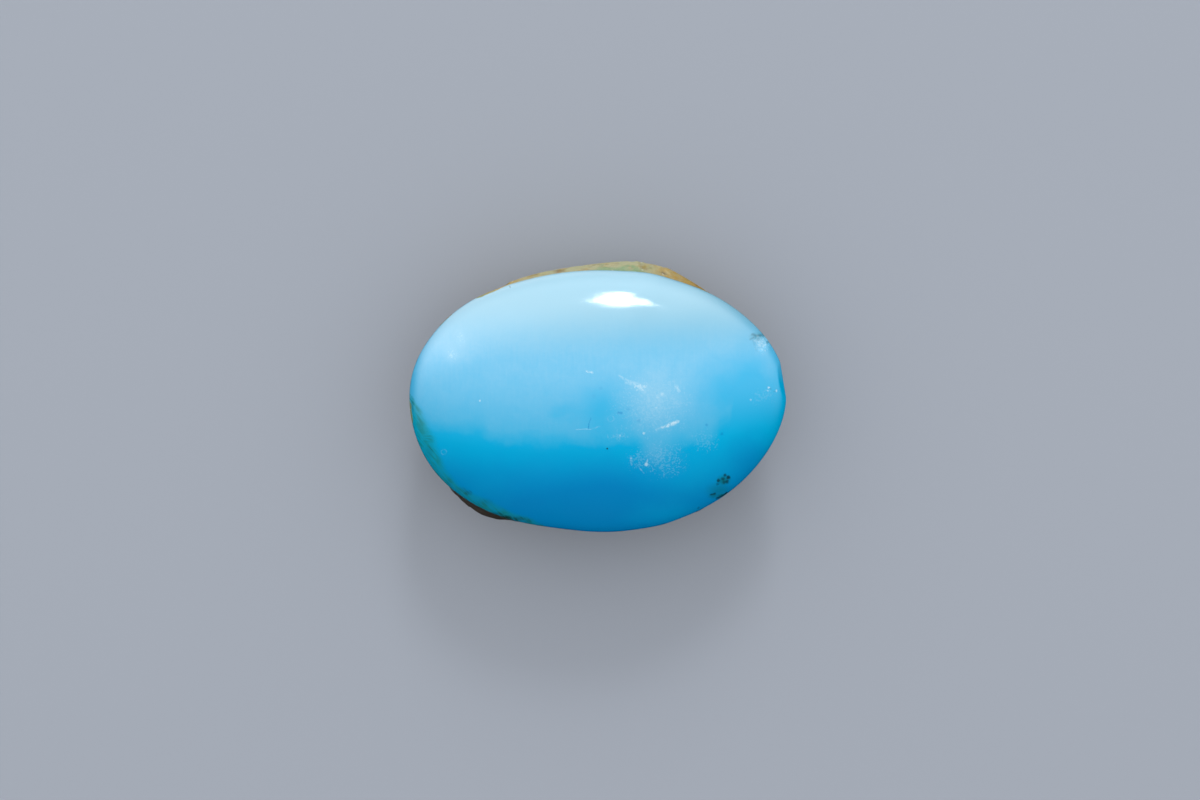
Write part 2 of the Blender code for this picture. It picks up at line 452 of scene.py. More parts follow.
def weathered(place, facing, sizes):
    """A place on the back with its relief, and how deep the relief's hollows are there."""
    below_rim = smooth_step(-place.z, *RELIEF_STARTS)
    above_foot = smooth_step(place.z + BACK_DEPTH, *RELIEF_ENDS)
    direction = direction_of(place)
    worn = max(gone * swell(direction, middle, spread) for middle, spread, gone in (WORN, SMOOTH_UNDER_RIM))
    broad = (matrix_relief(place) * (1.0 - worn) - hollow_at(place)) * below_rim * above_foot
    past = past_contact(place)
    fading = smooth_step(-place.z, *FINE_STARTS) * smooth_step(place.z + BACK_DEPTH, *FINE_ENDS)
    fine = smooth_step(past, 0.0, 0.35 * MM) * fading * (1.0 - WORN_FINE * worn)
    sunk = (crack_at(place) * sizes.crack_depth + pit_at(place) * sizes.pit_depth) * fine
    grain = grain_at(place) * sizes.grain_height * fine
    groove = sizes.groove_depth * math.exp(-((past / CONTACT_GROOVE_WIDTH) ** 2)) * below_rim
    out = min(broad + grain, inside_rim(place)) - sunk - groove
    moved = place + facing * out
    lowest = (place.z + BACK_DEPTH) * LEAST_LIFT - BACK_DEPTH
    moved.z = max(moved.z, lowest)
    return moved, sunk + hollow_at(place) * below_rim * above_foot * 0.3


class Look:
    """The camera's view of the stone: where a pixel of the photograph falls on its face."""

    def __init__(self, stage):
        self.tilt = stage.camera_tilt
        self.distance = stage.camera_distance
        self.pixel = SENSOR_WIDTH / stage.lens * stage.camera_distance / PHOTO_WIDTH

    def on_face(self, pixel):
        """The place on the dome, seen from above, that the camera sees at a pixel."""
        side = (pixel[0] - FACE_MIDDLE_PIXEL[0]) * self.pixel
        up = (FACE_MIDDLE_PIXEL[1] - pixel[1]) * self.pixel
        x, y, height = side, up, 0.0
        for _ in range(6):
            nearer = 1.0 - (height * math.cos(self.tilt) + y * math.sin(self.tilt)) / self.distance
            x = side * nearer
            y = (up * nearer + height * math.sin(self.tilt)) / math.cos(self.tilt)
            height = DOME_HEIGHT * dome_lift(lean_share(x, y))
        return Vector((x, y, 0.0))


def lean_share(x, y):
    """The share of its last lean that a plain dome has at a place, seen from above."""
    last = math.radians(DOME_LAST_LEAN)
    out = min(math.hypot(x / (RIM_LENGTH / 2), y / (RIM_WIDTH / 2)), 1.0)
    return math.asin(out * math.sin(last)) / last


def chipped(place, facing, chip, depth):
    """A place on the face with the chip taken out, and how much of the chip it is in."""
    across = (Vector((place.x, place.y, 0.0)) - chip).length
    ragged = across + 0.35 * CHIP_RADIUS * noise.noise(place / CHIP_GRAIN * 0.6)
    inside = 1.0 - smooth_step(ragged, 0.55 * CHIP_RADIUS, CHIP_RADIUS)
    if inside <= 0.0:
        return place, 0.0
    rough = depth * (1.0 + 0.5 * noise.noise(place / CHIP_GRAIN))
    return place - facing * rough * inside, inside


def above_cloud_and_sheen_edge(place, edge):
    """How far a place is above the lower edge of the clouding and its painted sheen, seen from above."""
    return place.y - eased_between(place.x, edge)


def stain_at(place):
    """One at the rim where the blue is stained, falling to nothing at the stain's inner edge."""
    reach = eased_between(oval_direction(place), STAIN_REACHES)
    if reach < 0.02 * MM:
        return 0.0
    return 1.0 - smooth_step(inside_rim(place), STAIN_EDGE * reach, reach)


def ring_of(mesh, point_at, turns, share):
    return [mesh.verts.new(point_at(360.0 * turn / turns, share)) for turn in range(turns)]


def join_rings(mesh, upper, lower):
    for turn in range(len(upper)):
        after = (turn + 1) % len(upper)
        mesh.faces.new((upper[turn], lower[turn], lower[after], upper[after]))


def close_ring(mesh, middle, ring, facing_up):
    for turn in range(len(ring)):
        pair = (ring[turn], ring[(turn + 1) % len(ring)])
        mesh.faces.new((middle, *pair) if facing_up else (middle, *reversed(pair)))


def model_stone(sizes, look, share):
    """The stone's fine mesh, measured from the middle of the rim, with the fields of its material."""
    mesh = bmesh.new()
    fields = {name: mesh.verts.layers.float.new(name) for name in FIELDS}
    turns = int(sizes.turns * share)
    dome_rings, side_rings, foot_rings = (int(n * share) for n in (DOME_RINGS, SIDE_RINGS, FOOT_RINGS))
    top = mesh.verts.new(face_point(0.0, 0.0))
    bottom = mesh.verts.new(foot_inside(0.0, 1.0))
    dome = [ring_of(mesh, face_point, turns, step / dome_rings) for step in range(1, dome_rings + 1)]
    side = [ring_of(mesh, side_point, turns, step / side_rings) for step in range(1, side_rings + 1)]
    foot = [ring_of(mesh, foot_inside, turns, step / foot_rings) for step in range(1, foot_rings)]
    rings = dome + side + foot
    close_ring(mesh, top, rings[0], True)
    for upper, lower in zip(rings, rings[1:]):
        join_rings(mesh, upper, lower)
    close_ring(mesh, bottom, rings[-1], False)
    mesh.normal_update()
    mark_fields(mesh, fields, look)
    roughen_back([vert for ring in side[:-1] for vert in ring], fields, sizes)
    chip_face([top] + [vert for ring in dome[:-1] for vert in ring], fields, look, sizes)
    return mesh


def mark_fields(mesh, fields, look):
    """Write how far each vertex is past the contact, above the edge of the clouding and its painted sheen, and
    inside the rim, in mm, and how stained it is."""
    places = [look.on_face(pixel) for pixel in CLOUD_AND_SHEEN_EDGE_PIXELS]
    edge = [(place.x, place.y) for place in places]
    for vert in mesh.verts:
        vert[fields["matrix"]] = past_contact(vert.co) / MM
        vert[fields["cloud"]] = above_cloud_and_sheen_edge(vert.co, edge) / MM
        vert[fields["inner"]] = inside_rim(vert.co) / MM
        vert[fields["stain"]] = stain_at(vert.co)


def roughen_back(verts, fields, sizes):
    moved = [(vert, *weathered(vert.co, vert.normal, sizes)) for vert in verts]
    for vert, place, sunk in moved:
        vert.co = place
        vert[fields["sunk"]] = sunk / MM


def chip_face(verts, fields, look, sizes):
    chip = look.on_face(CHIP_PIXEL)
    moved = [(vert, *chipped(vert.co, vert.normal, chip, sizes.chip_depth)) for vert in verts]
    for vert, place, inside in moved:
        vert.co = place
        vert[fields["broken"]] = inside


def set_on_foot(mesh):
    """Stand the mesh where the solid stands, and keep its finer curves inside the solid's box."""
    bmesh.ops.translate(mesh, verts=mesh.verts, vec=RIM_MIDDLE)
    low, high = CAD_BOX
    for vert in mesh.verts:
        vert.co = Vector(min(max(vert.co[axis], low[axis]), high[axis]) for axis in range(3))


class Wire:
    """An output of a node. Arithmetic on it adds Math nodes."""

    def __init__(self, bench, socket):
        self.bench = bench
        self.socket = socket

    def __add__(self, other):
        return self.bench.maths("ADD", self, other)

    __radd__ = __add__

    def __sub__(self, other):
        return self.bench.maths("SUBTRACT", self, other)

    def __rsub__(self, other):
        return self.bench.maths("SUBTRACT", other, self)

    def __mul__(self, other):
        return self.bench.maths("MULTIPLY", self, other)

    __rmul__ = __mul__

    def __truediv__(self, other):
        return self.bench.maths("DIVIDE", self, other)


class Bench:
    """Adds nodes to the node tree of a material or a world."""

    def __init__(self, owner):
        owner.use_nodes = True
        self.tree = owner.node_tree

    def feed(self, shader, name, value):
        """Give a named input of a shader a value or a link."""
        self.set_input(self.tree.nodes[shader].inputs[name], value)

    def set_input(self, socket, value):
        if isinstance(value, Wire):
            self.tree.links.new(value.socket, socket)
        else:
            socket.default_value = value

    def node(self, kind, settings, inputs, output=0):
        """One node: its type, its settings, the values or links of its inputs, and the output wanted."""
        made = self.tree.nodes.new(kind)
        for name, value in settings.items():
            if name == "stops":
                self.set_stops(made.color_ramp, value)
            else:
                setattr(made, name, value)
        for name, value in inputs.items():
            self.set_input(made.inputs[name], value)
        return Wire(self, made.outputs[output])

    def set_stops(self, ramp, stops):
        while len(ramp.elements) < len(stops):
            ramp.elements.new(1.0)
        for element, (place, shade) in zip(ramp.elements, stops):
            element.position = place
            element.color = solid(shade)

    def maths(self, operation, first, second=0.0):
        return self.node("ShaderNodeMath", {"operation": operation}, {0: first, 1: second})

    def most(self, first, second):
        return self.maths("MAXIMUM", first, second)

    def least(self, first, second):
        return self.maths("MINIMUM", first, second)

    def vectors(self, operation, first, second, output=0):
        settings = {"operation": operation}
        return self.node("ShaderNodeVectorMath", settings, {0: first, 1: second}, output)

    def scaled(self, vector, factor):
        settings = {"operation": "SCALE"}
        return self.node("ShaderNodeVectorMath", settings, {0: vector, "Scale": factor})

    def split(self, vector):
        return [self.node("ShaderNodeSeparateXYZ", {}, {0: vector}, axis) for axis in range(3)]

    def joined(self, x, y, z):
        return self.node("ShaderNodeCombineXYZ", {}, {0: x, 1: y, 2: z})

    def step(self, value, low, high, kind="SMOOTHSTEP"):
        """Nought below low and one above high, eased between them unless the kind is LINEAR."""
        inputs = {"Value": value, "From Min": low, "From Max": high}
        return self.node("ShaderNodeMapRange", {"interpolation_type": kind}, inputs)

    def noise(self, vector, size, detail=2.0, roughness=0.5, distortion=0.0, output=0):
        """Noise from nought to one, whose lumps are about this many millimetres across."""
        inputs = {
            "Vector": vector,
            "Scale": 1.0 / size,
            "Detail": detail,
            "Roughness": roughness,
            "Distortion": distortion,
        }
        return self.node("ShaderNodeTexNoise", {}, inputs, output)

    def cells(self, vector, size, output="Distance"):
        inputs = {"Vector": vector, "Scale": 1.0 / size}
        return self.node("ShaderNodeTexVoronoi", {}, inputs, output)

    def colours(self, factor, first, second, blend_type="MIX"):
        settings = {"data_type": "RGBA", "blend_type": blend_type}
        return self.node("ShaderNodeMix", settings, {0: factor, 6: first, 7: second}, 2)

    def ramp(self, value, stops):
        return self.node("ShaderNodeValToRGB", {"stops": stops}, {0: value})

    def field(self, name):
        return self.node("ShaderNodeAttribute", {"attribute_name": name}, {}, "Fac")


def solid(shade):
    return (*shade[:3], 1.0)


def shaded(shade, share):
    """A colour, darker by a share."""
    return tuple(value * share for value in shade[:3])


LARGE_PATCH = 1.0  # mm from its middle to its edge


class Surface:
    """What the stone's material works from: places in mm from the rim's middle, and the mesh's fields."""

    def __init__(self, bench, look):
        self.bench = bench
        self.look = look
        where = bench.node("ShaderNodeTexCoord", {}, {}, "Object")
        self.place = bench.scaled(bench.vectors("SUBTRACT", where, tuple(RIM_MIDDLE)), 1.0 / MM)
        self.x, self.y, self.z = bench.split(self.place)
        self.plan = bench.joined(self.x, self.y, 0.0)
        self.ragged_plan = self.strayed(0.16, 0.14)
        self.wandering_plan = self.strayed(1.1, 0.9)
        self.past = bench.field("matrix")
        self.sunk = bench.field("sunk")
        self.broken = bench.field("broken")
        # How far above the edge of the clouding and its painted sheen, in mm
        self.above_cloud_and_sheen = bench.field("cloud")
        self.stain = bench.field("stain")
        self.inner = bench.field("inner")
        self.on_face = bench.step(self.z, -0.05, 0.05)
        self.stipple = bench.noise(self.place, 0.11, 2.0, 0.65)

    def strayed(self, size, reach):
        """The plan, with each place moved aside by noise of a size, by up to about half the reach."""
        bench = self.bench
        drift = bench.noise(self.place, size, 2.0, 0.6, 0.0, "Color")
        drift = bench.vectors("SUBTRACT", drift, (0.5, 0.5, 0.5))
        return bench.vectors("ADD", self.plan, bench.vectors("MULTIPLY", drift, (reach, reach, 0.0)))

    def at(self, pixel):
        """Where the camera sees a pixel of the photograph on the face, in mm."""
        return self.look.on_face(pixel) / MM

    def spot(self, pixel, radius):
        """One inside a small round spot on the face, fading to nought at its edge."""
        away = self.bench.vectors("DISTANCE", self.ragged_plan, tuple(self.at(pixel)), "Value")
        return 1.0 - self.bench.step(away, radius * 0.35, radius)

    def ring(self, pixel, radius, width):
        away = self.bench.vectors("DISTANCE", self.ragged_plan, tuple(self.at(pixel)), "Value")
        return 1.0 - self.bench.step(self.bench.maths("ABSOLUTE", away - radius), 0.0, width)

    def patch(self, pixel, half_sizes, edge=0.8):
        """One inside an oval patch, fading to nought at its edge. A large one has a wandering outline."""
        bench = self.bench
        plan = self.wandering_plan if max(half_sizes) > LARGE_PATCH else self.ragged_plan
        from_middle = bench.vectors("SUBTRACT", plan, tuple(self.at(pixel)))
        shares = bench.vectors("DIVIDE", from_middle, (*half_sizes, 1.0))
        away = bench.node("ShaderNodeVectorMath", {"operation": "LENGTH"}, {0: shares}, "Value")
        return 1.0 - bench.step(away, 1.0 - edge, 1.0)

    def streak(self, start_pixel, end_pixel, width):
        """One along a straight mark on the face, fading to nought at its sides."""
        bench = self.bench
        start = self.at(start_pixel)
        run = self.at(end_pixel) - start
        from_start = bench.vectors("SUBTRACT", self.ragged_plan, tuple(start))
        along = bench.vectors("DOT_PRODUCT", from_start, tuple(run / run.length_squared), "Value")
        nearest = bench.scaled(tuple(run), bench.least(bench.most(along, 0.0), 1.0))
        away = bench.vectors("DISTANCE", from_start, nearest, "Value")
        return 1.0 - bench.step(away, 0.0, width / 2)

    def strongest(self, shares):
        """The greatest of several shares at each place."""
        greatest = shares[0]
        for share in shares[1:]:
            greatest = self.bench.most(greatest, share)
        return greatest

    def grained(self, mask):
        """A mask broken up into fine grains, which are closer together where the mask is stronger."""
        return self.bench.step(self.stipple + mask * 0.20, 0.64, 0.76) * self.bench.step(mask, 0.0, 0.3)

    def lines(self, along, spacing):
        """Fine ragged lines on the face, running in a direction given in degrees."""
        bench = self.bench
        run = outward(along)
        across = (self.x * -run.y + self.y * run.x) * (1.0 / spacing)
        ragged = bench.noise(bench.joined(across, (self.x * run.x + self.y * run.y) * 0.9, 0.0), 1.0, 1.0, 0.5)
        return bench.step(ragged, 0.46, 0.58)


class StoneSizes(bpy.types.PropertyGroup):
    """How finely the stone is meshed, and how deep its fine relief is."""

    turns: bpy.props.IntProperty(
        name="Steps round",
        description="Points in each ring round the stone",
        default=TURNS,
        min=48,
    )
    grain_height: bpy.props.FloatProperty(
        name="Grain",
        description="Height of the matrix's sandy grain",
        default=0.055 * MM,
        min=0.0,
        precision=5,
        unit="LENGTH",
    )
    crack_depth: bpy.props.FloatProperty(
        name="Cracks",
        description="Depth of the cracks in the matrix",
        default=0.11 * MM,
        min=0.0,
        precision=5,
        unit="LENGTH",
    )
    pit_depth: bpy.props.FloatProperty(
        name="Pits",
        description="Depth of the largest pits in the matrix",
        default=0.20 * MM,
        min=0.0,
        precision=5,
        unit="LENGTH",
    )
    groove_depth: bpy.props.FloatProperty(
        name="Contact",
        description="Depth of the groove along which the blue meets the matrix",
        default=0.07 * MM,
        min=0.0,
        precision=5,
        unit="LENGTH",
    )
    chip_depth: bpy.props.FloatProperty(
        name="Chip",
        description="Depth of the chip near the end of the face",
        default=0.06 * MM,
        min=0.0,
        precision=5,
        unit="LENGTH",
    )


class StoneFinish(bpy.types.PropertyGroup):
    """The colours of the turquoise and of its matrix, and how rough they are."""

    blue: bpy.props.FloatVectorProperty(
        name="Blue",
        description="The clean blue of the turquoise",
        default=(0.000, 0.390, 0.685),
        subtype="COLOR",
        min=0.0,
        max=1.0,
    )
    # Deep blue for the deeper marks, and for the painted shade low on the face
    deep_and_shaded_blue: bpy.props.FloatVectorProperty(
        name="Deep blue",
        description="The deepest blue, low on the face",
        default=(0.000, 0.220, 0.525),
        subtype="COLOR",
        min=0.0,
        max=1.0,
    )
    # Pale blue of the clouding, which also carries painted sheen
    pale_blue_and_sheen: bpy.props.FloatVectorProperty(
        name="Cloud",
        description="The paler blue where the stone is most clouded",
        default=(0.200, 0.500, 0.715),
        subtype="COLOR",
        min=0.0,
        max=1.0,
    )
    # Painted sheen high on the face, partly milky clouding
    milky_sheen: bpy.props.FloatVectorProperty(
        name="Milk",
        description="The milky blue high on the face",
        default=(0.200, 0.435, 0.565),
        subtype="COLOR",
        min=0.0,
        max=1.0,
    )
    # Pale colour of scuffs and frost, which also carries painted glints and painted sheen
    frost: bpy.props.FloatVectorProperty(
        name="Frost",
        description="Scuffed and chipped turquoise",
        default=(0.520, 0.720, 0.820),
        subtype="COLOR",
        min=0.0,
        max=1.0,
    )
    teal: bpy.props.FloatVectorProperty(
        name="Teal",
        description="Green staining of the blue along the rim",
        default=(0.008, 0.280, 0.275),
        subtype="COLOR",
        min=0.0,
        max=1.0,
    )
    bottle_green: bpy.props.FloatVectorProperty(
        name="Bottle green",
        description="The darkest staining of the blue",
        default=(0.008, 0.060, 0.050),
        subtype="COLOR",
        min=0.0,
        max=1.0,
    )
    speck: bpy.props.FloatVectorProperty(
        name="Specks",
        description="Dark specks of matrix in the face",
        default=(0.004, 0.040, 0.055),
        subtype="COLOR",
        min=0.0,
        max=1.0,
    )
    olive: bpy.props.FloatVectorProperty(
        name="Olive",
        description="The smooth worn skin of the matrix",
        default=(0.260, 0.268, 0.145),
        subtype="COLOR",
        min=0.0,
        max=1.0,
    )
    ochre: bpy.props.FloatVectorProperty(
        name="Ochre",
        description="Ochre parts of the matrix",
        default=(0.255, 0.158, 0.015),
        subtype="COLOR",
        min=0.0,
        max=1.0,
    )
    brown: bpy.props.FloatVectorProperty(
        name="Brown",
        description="Brown parts of the matrix",
        default=(0.120, 0.065, 0.028),
        subtype="COLOR",
        min=0.0,
        max=1.0,
    )
    # Umber also paints the shade under the rim at -Y
    umber: bpy.props.FloatVectorProperty(
        name="Umber",
        description="The darkest matrix, in cracks and pits",
        default=(0.022, 0.014, 0.009),
        subtype="COLOR",
        min=0.0,
        max=1.0,
    )
    green: bpy.props.FloatVectorProperty(
        name="Green",
        description="Green mineral along the contact and in veins",
        default=(0.095, 0.195, 0.085),
        subtype="COLOR",
        min=0.0,
        max=1.0,
    )
    polish: bpy.props.FloatProperty(
        name="Polish roughness",
        description="Roughness of the polished blue face",
        default=0.09,
        min=0.0,
        max=1.0,
        subtype="FACTOR",
    )
    rock_roughness: bpy.props.FloatProperty(
        name="Matrix roughness",
        description="Roughness of the natural matrix",
        default=0.80,
        min=0.0,
        max=1.0,
        subtype="FACTOR",
    )


class StageSettings(bpy.types.PropertyGroup):
    """The camera, the floor and the lights."""

    camera_tilt: bpy.props.FloatProperty(
        name="Camera tilt",
        description="How far the camera leans from straight above the face towards +Y",
        default=math.radians(5.0),
        unit="ROTATION",
    )
    camera_distance: bpy.props.FloatProperty(
        name="Camera distance",
        description="From the camera to the middle of the rim",
        default=0.212,
        unit="LENGTH",
    )
    lens: bpy.props.FloatProperty(
        name="Lens",
        description="Focal length for a sensor 36 mm wide",
        default=120.0,
        unit="CAMERA",
    )
    floor: bpy.props.FloatVectorProperty(
        name="Floor",
        description="Colour of the floor",
        default=(0.300, 0.330, 0.385),
        subtype="COLOR",
        min=0.0,
        max=1.0,
    )
    sky: bpy.props.FloatProperty(
        name="Soft light",
        description="Strength of the even light from all round",
        default=0.82,
        min=0.0,
    )
    sky_slope: bpy.props.FloatProperty(
        name="Soft light's slope",
        description="How much stronger that light is from +Y than from -Y",
        default=0.40,
        min=0.0,
    )
    lamp_power: bpy.props.FloatProperty(
        name="Lamps",
        description="Power of the softboxes beyond the stone, which make the highlight",
        default=1.25,
        unit="POWER",
    )


# Marks on the face, by the photograph's pixels

# Pale streaks, scratches in the face with their glints painted in as pale colour: start, end, width in mm,
# strength
PALE_STREAKS = (
    ((587.0, 371.5), (592.4, 372.5), 0.17, 0.75),
    ((618.8, 375.4), (628.0, 381.0), 0.20, 0.30),
    ((627.0, 381.5), (644.0, 387.5), 0.42, 0.36),
    ((638.0, 386.5), (644.5, 391.0), 0.36, 0.34),
    ((657.0, 429.4), (668.0, 425.7), 0.26, 0.55),
    ((667.0, 426.0), (677.2, 421.6), 0.32, 0.85),
    ((657.5, 396.6), (662.8, 393.6), 0.30, 0.45),
    ((676.2, 386.0), (679.0, 391.0), 0.28, 0.40),
    ((676.8, 385.8), (677.6, 387.3), 0.18, 0.60),
    ((576.0, 429.6), (591.0, 429.0), 0.10, 0.26),
    ((591.0, 429.0), (600.2, 426.2), 0.10, 0.20),
    ((637.5, 465.0), (643.7, 473.0), 0.10, 0.26),
    ((631.0, 456.5), (631.5, 464.5), 0.14, 0.28),
    ((647.5, 459.5), (646.6, 464.0), 0.13, 0.40),
)

# Pale dots: middle, radius in mm, strength
PALE_DOTS = (
    ((480.0, 400.6), 0.08, 0.60),
    ((656.6, 407.4), 0.08, 0.30),
    ((643.7, 433.3), 0.10, 0.50),
    ((619.8, 435.6), 0.08, 0.35),
    ((631.0, 458.0), 0.08, 0.40),
    ((646.4, 464.2), 0.13, 0.60),
    ((768.6, 387.4), 0.08, 0.70),
    ((768.0, 390.4), 0.06, 0.40),
    ((776.5, 390.6), 0.09, 0.55),
    ((751.0, 400.0), 0.07, 0.30),
)

# Patches of fine pale grains, frosted polish with its sheen partly painted in as pale colour: middle, half
# sizes in mm, strength
FROST_PATCHES = (
    ((664.0, 459.0), (1.90, 1.50), 0.11),
    ((640.0, 460.0), (1.30, 1.00), 0.09),
    ((704.0, 441.0), (1.10, 0.90), 0.08),
    ((655.0, 404.0), (3.40, 2.80), 0.09),
    ((764.0, 397.0), (1.10, 0.60), 0.08),
    ((616.0, 435.0), (1.20, 0.50), 0.09),
    ((451.5, 355.0), (0.42, 0.55), 0.26),
    ((461.0, 339.0), (0.32, 0.60), 0.20),
    ((640.5, 386.5), (0.60, 0.34), 0.50),
    ((761.5, 345.0), (0.56, 0.66), 0.36),
)

# Soft pale patches: middle, half sizes in mm, strength
PALE_PATCHES = (
    ((451.5, 355.0), (0.55, 0.70), 0.12),
    ((461.0, 338.0), (0.45, 0.80), 0.08),
    ((761.5, 345.0), (0.56, 0.60), 0.10),
    ((760.5, 341.0), (0.38, 0.32), 0.14),
    ((764.0, 352.0), (0.45, 0.30), 0.06),
    ((640.0, 386.5), (0.70, 0.34), 0.08),
    ((660.0, 457.0), (1.50, 1.20), 0.03),
)

# Rings: middle, radius in mm, strength
RINGS = (
    ((610.8, 418.6), 0.16, 0.11),
    ((444.0, 452.0), 0.14, 0.09),
)
RING_WIDTH = 0.06

# Dark dots: middle, radius in mm, strength
DARK_DOTS = (
    ((607.3, 448.6), 0.070, 1.00),
    ((510.3, 286.4), 0.060, 0.50),
    ((725.2, 475.4), 0.130, 0.80),
    ((728.4, 477.6), 0.150, 0.95),
    ((718.4, 480.7), 0.130, 0.85),
    ((722.8, 479.2), 0.130, 0.65),
    ((727.0, 481.8), 0.140, 0.75),
    ((724.2, 482.4), 0.140, 0.60),
    ((717.8, 484.3), 0.100, 0.50),
    ((698.4, 508.0), 0.100, 0.40),
    ((767.2, 342.0), 0.110, 0.40),
    ((758.2, 339.6), 0.090, 0.20),
    ((770.5, 389.0), 0.060, 0.25),
    ((774.0, 391.5), 0.060, 0.20),
)

# Dark streaks: start, end, width in mm, strength
DARK_STREAKS = (
    ((711.0, 494.8), (715.0, 493.8), 0.20, 0.90),
    ((717.5, 498.2), (721.5, 496.4), 0.24, 0.85),
    ((721.0, 496.6), (727.0, 493.0), 0.20, 0.80),
    ((750.2, 339.2), (753.4, 337.4), 0.18, 0.34),
    ((752.0, 334.0), (758.0, 335.6), 0.18, 0.36),
    ((757.0, 335.0), (763.5, 335.2), 0.20, 0.40),
)

# Marks of a deeper blue: dots by their middle, radius in mm and strength, then streaks as above
BLUE_DOTS = (
    ((628.0, 409.0), 0.12, 0.20),
    ((638.9, 420.8), 0.12, 0.25),
    ((600.6, 388.3), 0.12, 0.16),
    ((594.0, 396.0), 0.16, 0.12),
    ((706.8, 424.8), 0.10, 0.40),
    ((721.9, 433.7), 0.12, 0.50),
)
BLUE_STREAKS = (
    ((618.4, 412.5), (621.6, 412.9), 0.20, 0.60),
    ((590.6, 418.0), (589.0, 423.5), 0.11, 0.55),
    ((589.0, 423.5), (588.2, 428.2), 0.11, 0.75),
)

# Teal haze round the specks: middle, half sizes in mm, strength
HAZES = (
    ((723.5, 480.8), (0.50, 0.44), 0.80),
    ((719.0, 490.0), (0.95, 0.60), 0.45),
    ((714.0, 495.5), (0.45, 0.30), 0.60),
    ((721.5, 495.5), (0.50, 0.26), 0.70),
    ((757.0, 336.0), (0.62, 0.28), 0.34),
)

# The darkest parts of the staining: middle, half sizes in mm, strength
DARK_STAINS = (
    ((412.4, 407.0), (0.16, 0.60), 0.55),
    ((429.5, 451.0), (0.34, 0.50), 0.42),
    ((428.0, 440.0), (0.40, 0.60), 0.14),
    ((449.5, 481.0), (0.30, 0.40), 0.20),
    ((468.0, 492.3), (0.36, 0.22), 0.75),
    ((463.0, 489.5), (0.50, 0.24), 0.30),
    ((485.0, 502.0), (0.66, 0.34), 0.30),
    ((498.5, 514.0), (0.46, 0.26), 0.75),
    ((507.0, 517.0), (0.60, 0.24), 1.00),
    ((518.0, 518.2), (0.66, 0.24), 1.00),
    ((528.0, 520.5), (0.40, 0.24), 0.45),
)
CROSS_HATCHED = ((429.0, 437.0), (0.60, 0.48))

# Where the clouding and its painted sheen are thicker or thinner than round it: middle, half sizes in mm,
# change
CLOUD_AND_SHEEN_CHANGES = (
    ((603.0, 405.0), (2.3, 2.0), -0.36),
    ((563.0, 412.0), (1.2, 0.8), -0.18),
    ((656.0, 398.0), (3.0, 2.5), 0.30),
    ((668.0, 338.0), (4.6, 1.8), -0.12),
    ((725.0, 388.0), (2.7, 2.2), -0.40),
    ((757.0, 372.0), (1.4, 1.1), -0.12),
    ((458.0, 348.0), (1.8, 1.4), 0.20),
)
MILKY_SHEEN_FROM = (2.0, 5.6)  # mm towards +Y, between which the milky blue comes in, partly clouding and partly painted sheen

# Where the blue is deeper or lighter than its row: middle, half sizes in mm, change
DEEP_CHANGES = (
    ((600.0, 484.0), (3.4, 2.2), 0.14),
    ((486.0, 492.0), (2.6, 1.4), -0.16),
    ((688.0, 482.0), (3.2, 2.1), -0.24),
    ((666.0, 514.0), (3.4, 1.2), -0.30),
    ((752.0, 452.0), (2.0, 1.8), 0.36),
)
PAINTED_SHADE_FROM = (-5.2, -1.3)  # mm towards +Y, between which the painted shade low on the face fades from the deep blue to the clean blue


def turquoise_colour(surface, finish):
    """The blue of the face: deepened low down by painted shade, clouded higher up with painted sheen in part,
    with its stains, specks and scuffs, some of them painted glints.
    """
    bench = surface.bench
    # Painted shade: the blue deepened towards -Y, low on the face
    blue = bench.colours(deep_and_shaded_share(surface), solid(finish.blue), solid(finish.deep_and_shaded_blue))
    # Partly painted sheen: the paler clouded blue above its edge
    blue = bench.colours(cloud_and_sheen_share(surface), blue, solid(finish.pale_blue_and_sheen))
    # Painted sheen: the milky blue high on the face
    blue = bench.colours(bench.step(surface.y, *MILKY_SHEEN_FROM), blue, solid(finish.milky_sheen))
    blue = bench.colours(blue_mark_share(surface), blue, solid(finish.deep_and_shaded_blue))
    blue = stained(surface, finish, blue)
    haze = surface.strongest([surface.patch(p, half, 1.0) * most for p, half, most in HAZES])
    blue = bench.colours(haze, blue, solid(shaded(finish.teal, 0.5)))
    blue = bench.colours(speck_share(surface), blue, solid(finish.speck))
    # Pale scuffs and frost, partly painted glints and painted sheen
    return bench.colours(scuff_and_glint_share(surface), blue, solid(finish.frost))


def deep_and_shaded_share(surface):
    """How deep the blue is: painted shade deepens it towards -Y, and it varies along each row."""
    bench = surface.bench
    drift = (bench.noise(surface.place, 1.6, 4.0, 0.6) - 0.5) * 0.16
    share = 1.0 - bench.step(surface.y, *PAINTED_SHADE_FROM)
    for pixel, half_sizes, change in DEEP_CHANGES:
        share = share + surface.patch(pixel, half_sizes, 1.0) * change
    return bench.most(bench.least(share + drift, 1.0), 0.0)


